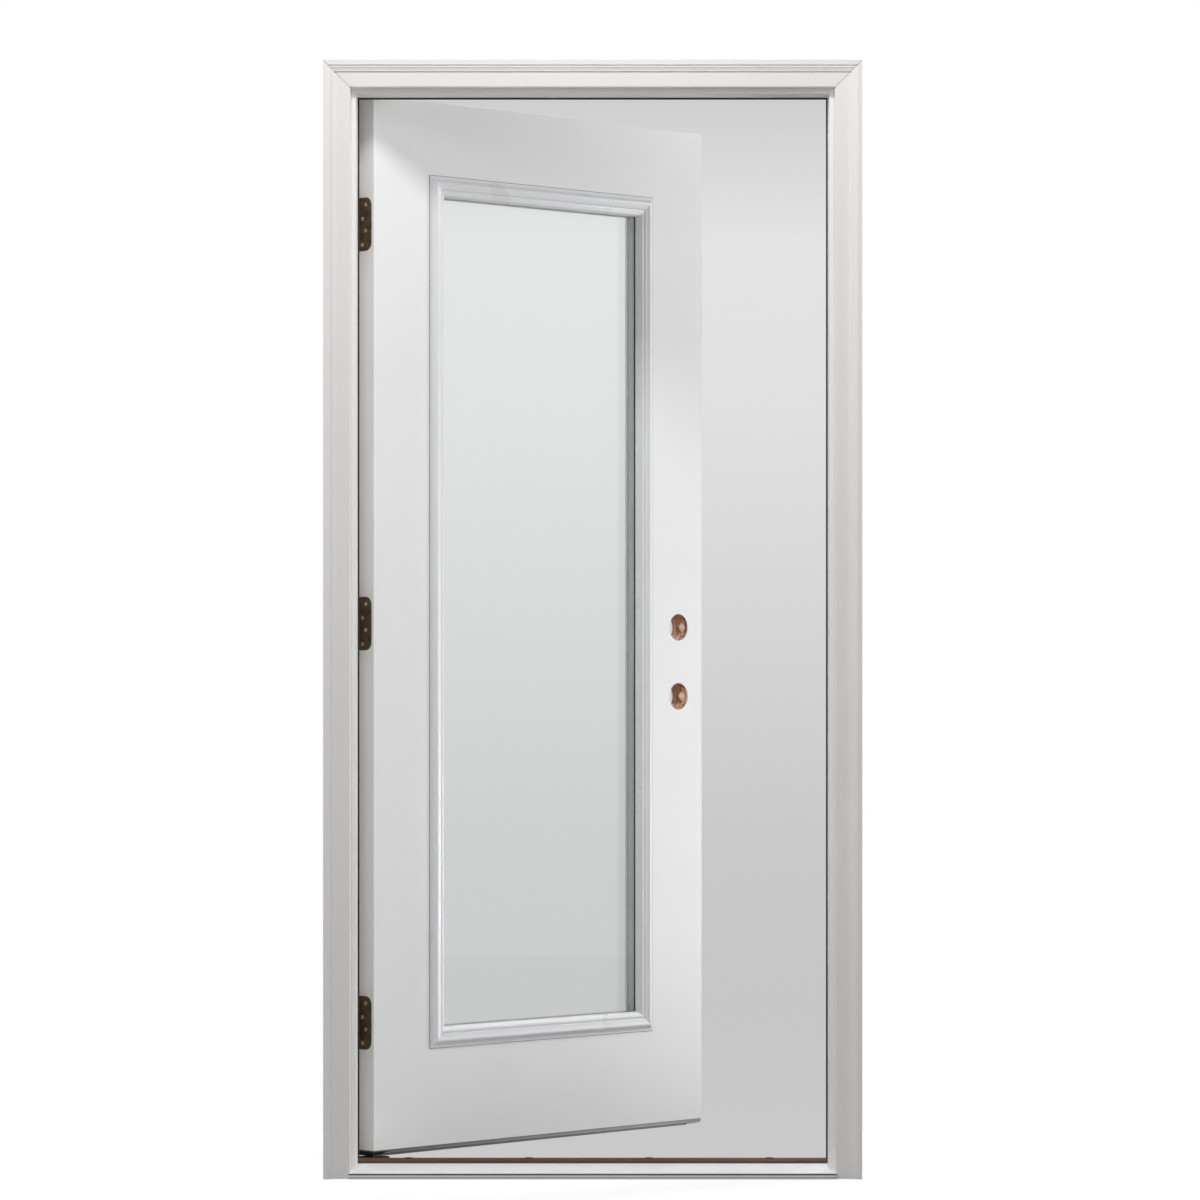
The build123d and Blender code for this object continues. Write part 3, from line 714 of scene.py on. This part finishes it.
def sweep_fins():
    """The soft tips of the sweep's fins, curled a little to the outside, in a darker finish that paints shade on
    them.
    """
    mesh_data = bmesh.new()
    first = SWEEP_INSET + FIN_MARGIN
    pitch = (SLAB_THICKNESS - 2 * first) / (FINS - 1)
    root = SWEEP_FOOT + FIN_SEAT
    for number in range(FINS):
        rows = []
        for step in range(FIN_STEPS + 1):
            share = step / FIN_STEPS
            middle = first + pitch * number - FIN_CURL * share * share
            half = (FIN_ROOT + (FIN_TIP - FIN_ROOT) * share) / 2
            rows.append((root + (SWEEP_TIP - root) * share, middle - half, middle + half))
        outline = [(z, near) for z, near, _ in rows] + [(z, far) for z, _, far in reversed(rows)]
        ends = [[mesh_data.verts.new(slab_place(along, depth, z)) for z, depth in outline]
                for along in (0.0, SLAB_WIDTH - SWEEP_NOTCH)]
        add_loft(mesh_data, ends)
    new_piece("sweep_fin_tips", mesh_data, "door", "sweep_vinyl", "sweep_tip")


# The loose end of the sweep, from the fins to the lock edge
END_DEEP = 30.6 * MM
END_SHALLOW = 31.8 * MM
END_ROUND = 1.2 * MM
END_SLOPE = 1.0 * MM
END_PINCH = 1.0 * MM
END_PINCH_POWER = 6
END_STEPS = 8
END_GAP = 0.3 * MM


def sweep_end():
    """The loose end of the sweep past its fins: a soft lip that droops and rounds off."""
    mesh_data = bmesh.new()
    start = SLAB_WIDTH - SWEEP_NOTCH
    reach = SWEEP_NOTCH - LOCK_BEVEL - END_GAP
    loops = []
    for step in range(END_STEPS + 1):
        share = step / END_STEPS
        foot = END_DEEP + (END_SHALLOW - END_DEEP) * math.sin(share * math.pi / 2) ** 2
        if step == END_STEPS:
            foot += END_ROUND
        pinch = END_PINCH * share ** END_PINCH_POWER
        near = SWEEP_INSET + pinch
        far = SLAB_THICKNESS - SWEEP_INSET - pinch
        corners = ((near, SWEEP_TOP), (far, SWEEP_TOP), (far - END_SLOPE, foot), (near + END_SLOPE, foot))
        loops.append([mesh_data.verts.new(slab_place(start + reach * share, depth, z))
                      for depth, z in corners])
    add_loft(mesh_data, loops)
    new_piece("sweep_loose_end", mesh_data, "door", "sweep_vinyl", "sweep_end")


# The pad that closes the sweep at the hinges
HINGE_PAD_REACH = 36.0 * MM
HINGE_PAD_FOOT = 29.8 * MM
HINGE_PAD_THIN = 0.6 * MM
HINGE_PAD_POWER = 2.2
HINGE_PAD_PROUD = 0.4 * MM
HINGE_PAD_SLOPE = 0.8 * MM
HINGE_PAD_STEPS = 6


def sweep_hinge_end():
    """The dense dark pad that closes the sweep at the hinges and thins out along it."""
    mesh_data = bmesh.new()
    near = SWEEP_INSET - HINGE_PAD_PROUD
    far = SLAB_THICKNESS - SWEEP_INSET
    fall = SWEEP_TOP - HINGE_PAD_THIN - HINGE_PAD_FOOT
    loops = []
    for step in range(HINGE_PAD_STEPS + 1):
        share = step / HINGE_PAD_STEPS
        foot = HINGE_PAD_FOOT + fall * share ** HINGE_PAD_POWER
        corners = ((near, SWEEP_TOP), (far, SWEEP_TOP),
                   (far - HINGE_PAD_SLOPE, foot), (near + HINGE_PAD_SLOPE, foot))
        loops.append([mesh_data.verts.new(slab_place(HINGE_PAD_REACH * share, depth, z))
                      for depth, z in corners])
    add_loft(mesh_data, loops)
    new_piece("sweep_hinge_pad", mesh_data, "door", "sweep_vinyl", "seal_bead")


# The foam pad at the hinge corner: its ends in X, its back, and its foot in front and behind
CORNER_PAD_SPAN = (-456.0 * MM, -386.0 * MM)
CORNER_PAD_BACK = 115.2 * MM
CORNER_PAD_FEET = (18.6 * MM, 12.7 * MM)
CORNER_PAD_GAP = 0.2 * MM
CORNER_PAD_ROUND = 6.0 * MM
CORNER_PAD_FALLS = (0.7 * MM, 3.0 * MM)


def corner_pad():
    """The dark foam pad behind the cap at the hinge corner, on the fall of the sill."""
    _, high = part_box("sill_cap")
    front, back = high[1] + CORNER_PAD_GAP, CORNER_PAD_BACK
    front_foot, back_foot = CORNER_PAD_FEET
    start, end = CORNER_PAD_SPAN
    first_fall, last_fall = CORNER_PAD_FALLS
    stations = ((start, 0.0), (end - CORNER_PAD_ROUND, 0.0),
                (end - CORNER_PAD_ROUND / 3, first_fall), (end, last_fall))
    mesh_data = bmesh.new()
    loops = []
    for x, fall in stations:
        top = high[2] - fall
        outline = ((front, front_foot), (back, back_foot), (back, top), (front, top))
        loops.append([mesh_data.verts.new((x, y, z)) for y, z in outline])
    add_loft(mesh_data, loops)
    new_piece("hinge_corner_pad", mesh_data, "frame", "dark_seal", "seal_bead")


# Plugs over screws: their outline as shares of the radius and the rise, and how deep they sit
PLUG_PROFILE = ((1.0, 0.5), (0.92, 0.85), (0.7, 1.0))
PLUG_SUNK = 3.0 * MM
PLUG_SIDES = 24

LITE_PLUG_RADIUS = 4.2 * MM
LITE_PLUG_RISE = 0.5 * MM
LITE_PLUG_MARGIN = 19.5 * MM
LITE_PLUG_HEIGHT = 5.7 * MM
LITE_PLUG_TILT = math.radians(12.5)
LITE_PLUGS_UP = 6
LITE_PLUGS_ACROSS = 3
LITE_PLUG_REACH_UP = 0.92
LITE_PLUG_PITCH_ACROSS = 0.75

CAP_PLUG_RADIUS = 8.5 * MM
CAP_PLUG_RISE = 0.6 * MM
CAP_PLUG_PLACES = (-349 * MM, -121 * MM, 107 * MM, 335 * MM)


def add_plug(mesh_data, pose, radius, rise):
    """A low domed cap: a skirt that starts inside its seat, a rounded rim and a flat crown."""
    rings = [add_ring(mesh_data, radius, -PLUG_SUNK, pose, PLUG_SIDES)]
    for across, up in PLUG_PROFILE:
        rings.append(add_ring(mesh_data, radius * across, rise * up, pose, PLUG_SIDES))
    add_loft(mesh_data, rings)


def interior_plugs():
    """Screw plugs round the interior lite frame, seated on the slope of its moulding."""
    x_middle, z_middle, half_width, half_height = lite_window()
    x_reach = half_width - LITE_PLUG_MARGIN
    z_reach = half_height - LITE_PLUG_MARGIN
    lean = math.sin(LITE_PLUG_TILT)
    places = []
    for number in range(LITE_PLUGS_UP):
        z = z_reach * LITE_PLUG_REACH_UP * (2 * number / (LITE_PLUGS_UP - 1) - 1)
        places.append(((x_reach, z), (-lean, 0)))
        places.append(((-x_reach, z), (lean, 0)))
    for number in range(LITE_PLUGS_ACROSS):
        x = x_reach * LITE_PLUG_PITCH_ACROSS * (number - (LITE_PLUGS_ACROSS - 1) / 2)
        places.append(((x, z_reach), (0, -lean)))
        places.append(((x, -z_reach), (0, lean)))
    mesh_data = bmesh.new()
    for (x, z), (lean_x, lean_z) in places:
        normal = Vector((lean_x, math.cos(LITE_PLUG_TILT), lean_z))
        up = Vector((0, 0, 1)) - normal * normal.z
        place = (x_middle + x, LITE_PLUG_HEIGHT - PIN_OFFSET, z_middle + z - pin.z)
        add_plug(mesh_data, DOOR_POSE @ facing(place, normal, up), LITE_PLUG_RADIUS, LITE_PLUG_RISE)
    new_piece("lite_screw_plugs", mesh_data, "door", "lite_frame")


def sill_cap_plugs():
    """Covers over the adjusting screws, along the crest of the cap."""
    low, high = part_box("sill_cap")
    middle = (low[1] + high[1]) / 2
    mesh_data = bmesh.new()
    for x in CAP_PLUG_PLACES:
        pose = facing((x, middle, high[2]), (0, 0, 1), (0, 1, 0))
        add_plug(mesh_data, pose, CAP_PLUG_RADIUS, CAP_PLUG_RISE)
    new_piece("sill_cap_plugs", mesh_data, "frame", "brown_cap")


# The floor glows less near the object, so that its shadow shows, and is open behind the sill.
FLOOR_COLOR = grey(0.35)
FLOOR_GLOW = 0.72
FLOOR_FADE = (0.8, 2.2)
FLOOR_DROP = 0.3 * MM
FLOOR_REACH = 6.0
FLOOR_BACK = 0.86
OPENING_HALF = 0.49
OPENING_FRONT = 0.12


def floor_material():
    """A plain pale floor, lit to white for the camera but for the object's soft shadow."""
    finish = Finish("floor")
    finish.set(Base_Color=(*FLOOR_COLOR, 1), Roughness=0.9, Specular_IOR_Level=0.1)
    rays = finish.add("LightPath").outputs
    away = finish.add("VectorMath")
    away.operation = "LENGTH"
    finish.link(finish.place(), away.inputs[0])
    level = finish.spread(away.outputs["Value"], FLOOR_GLOW, 1.0, *FLOOR_FADE)
    glow = finish.add("Emission")
    finish.link(finish.math("MULTIPLY", level, rays["Is Camera Ray"]), glow.inputs["Strength"])
    lit = finish.add("AddShader")
    finish.link(finish.shader.outputs[0], lit.inputs[0])
    finish.link(glow.outputs[0], lit.inputs[1])
    clear = finish.add("BsdfTransparent")
    finish.show(finish.either(rays["Is Transmission Ray"], lit.outputs[0], clear.outputs[0]))
    return finish.material


def make_floor():
    """The floor, open behind the sill so that the grey fills the whole doorway."""
    mesh_data = bmesh.new()
    for left, right, front, back in (
            (-FLOOR_REACH, FLOOR_REACH, -FLOOR_REACH, OPENING_FRONT),
            (-FLOOR_REACH, -OPENING_HALF, OPENING_FRONT, FLOOR_BACK),
            (OPENING_HALF, FLOOR_REACH, OPENING_FRONT, FLOOR_BACK)):
        corners = [(left, front, 0), (right, front, 0), (right, back, 0), (left, back, 0)]
        mesh_data.faces.new([mesh_data.verts.new(c) for c in corners])
    floor = stage_piece("floor", mesh_data, floor_material())
    floor.location.z = cad_low.z - FLOOR_DROP


def upright_sheet(name, half_width, heights, place, material):
    """A studio sheet that stands across the way in, centred on it, at a place along Y."""
    low, high = heights
    mesh_data = bmesh.new()
    corners = [(-half_width, 0, low), (half_width, 0, low), (half_width, 0, high), (-half_width, 0, high)]
    mesh_data.faces.new([mesh_data.verts.new(c) for c in corners])
    sheet = stage_piece(name, mesh_data, material)
    sheet.location.y = place
    return sheet


SHEET_PLACE = 0.03
CURTAIN_HALF = 0.4455
CURTAIN_HEIGHTS = (0.012, 2.031)
FLAG_HALF = 0.75
FLAG_HEIGHTS = (2.097, 3.1)


def make_curtain():
    """A clear curtain in the doorway: the studio is grey to a ray that came through it."""
    finish = Finish("curtain")
    finish.show(finish.add("BsdfTransparent").outputs[0])
    upright_sheet("curtain", CURTAIN_HALF, CURTAIN_HEIGHTS, SHEET_PLACE, finish.material)


def make_flag():
    """A flag over the head, where a wall would be: it stops the lamps and nothing sees it."""
    finish = Finish("flag")
    finish.set(Base_Color=(0, 0, 0, 1))
    flag = upright_sheet("flag", FLAG_HALF, FLAG_HEIGHTS, SHEET_PLACE, finish.material)
    flag.visible_camera = False
    flag.visible_diffuse = False
    flag.visible_glossy = False
    flag.visible_transmission = False


# The studio round the floor. Slopes are the Z of a ray's direction, turns are its Y.
WHITE = (1, 1, 1)
FILL_COLOR = (0.97, 0.98, 1.0)
FILL = 0.11
GLOSS_LOW = 0.5
GLOSS_SLOPES = (-0.12, 0.1)
DOORWAY_GREYS = ((0.0, 0.59), (0.15, 0.565), (0.3, 0.585), (0.7, 0.75), (0.85, 0.775), (1.0, 0.6))
DOORWAY_SLOPES = (-0.109, 0.1265)
DOORWAY_TURNS = (0.9, 0.97)


def make_world():
    """What a ray meets past the object.

    The camera and the glass see white, and grey where they look straight in through the
    doorway. Gloss sees a room that darkens towards the floor. All else gets a low fill.
    """
    world = bpy.data.worlds.new("studio")
    bpy.context.scene.world = world
    world.use_nodes = True
    studio = Nodes(world.node_tree)
    rays = studio.add("LightPath").outputs
    _, y, z = studio.axes(studio.add("TexCoord").outputs["Generated"])

    def light(color, strength):
        node = studio.add("Background")
        node.inputs["Color"].default_value = (*color, 1)
        node.inputs["Strength"].default_value = strength
        return node

    doorway = light(WHITE, 1.0)
    greys = [(place, grey(level)) for place, level in DOORWAY_GREYS]
    slope = studio.spread(z, 0.0, 1.0, *DOORWAY_SLOPES)
    studio.link(studio.ramp(slope, greys), doorway.inputs["Color"])
    room = light(WHITE, 1.0)
    studio.link(studio.spread(z, GLOSS_LOW, 1.0, *GLOSS_SLOPES), room.inputs["Strength"])
    fill = light(FILL_COLOR, FILL)
    white = light(WHITE, 1.0)

    straight_in = studio.spread(y, 0.0, 1.0, *DOORWAY_TURNS)
    came_through = studio.math("MINIMUM", rays["Transparent Depth"], straight_in)
    shown = studio.either(came_through, white.outputs[0], doorway.outputs[0])
    unseen = studio.either(rays["Is Glossy Ray"], fill.outputs[0], room.outputs[0])
    seen = studio.math("MAXIMUM", rays["Is Camera Ray"], rays["Is Transmission Ray"])
    output = studio.add("OutputWorld")
    studio.link(studio.either(seen, unseen, shown), output.inputs["Surface"])


def add_softbox(name, place, target, size, power, in_gloss=True):
    """A soft lamp, size its width and height, power in watts, which no camera or glass sees."""
    data = bpy.data.lights.new(name, "AREA")
    data.shape = "RECTANGLE"
    data.size, data.size_y = size
    data.energy = power
    lamp = bpy.data.objects.new(name, data)
    lamp.location = place
    lamp.visible_camera = False
    lamp.visible_transmission = False
    lamp.visible_glossy = in_gloss
    aim = Vector(target) - Vector(place)
    lamp.rotation_euler = aim.to_track_quat("-Z", "Y").to_euler()
    bpy.context.scene.collection.objects.link(lamp)


def make_lights():
    """Small lamps high and low in front, three inside at the right, one at the left, one behind."""
    middle = (0.0, 0.3, 1.05)
    high = (0.0, 0.2, 1.3)
    low_inside = (0.0, 0.4, 0.5)
    high_inside = (0.0, 0.4, 1.6)
    add_softbox("top_middle", (-0.2, -1.7, 3.4), high, (0.5, 0.45), 34)
    add_softbox("top_right", (0.9, -2.2, 2.6), high, (0.6, 0.5), 6)
    add_softbox("front_low", (-0.6, -3.5, 1.4), middle, (0.8, 0.8), 30, in_gloss=False)
    add_softbox("right_back", (2.9, 1.4, 0.7), middle, (1.0, 2.0), 31)
    add_softbox("right_low", (2.9, 1.4, 0.4), low_inside, (0.8, 0.7), 18)
    add_softbox("right_top", (2.2, 1.2, 2.6), high_inside, (0.8, 0.7), 24)
    add_softbox("left", (-3.0, -0.4, 2.4), middle, (1.2, 1.8), 24)
    add_softbox("room", (-0.8, 3.4, 3.6), middle, (2.0, 1.2), 90)


bpy.context.scene.view_settings.view_transform = "Standard"
set_camera()
dress_solids()
for level in ("upper", "middle", "lower"):
    leaf_screws(level)
glazing_lines()
lite_caulk_shadow_line()
sweep_fins()
sweep_end()
sweep_hinge_end()
corner_pad()
interior_plugs()
sill_cap_plugs()
make_floor()
make_curtain()
make_flag()
make_world()
make_lights()
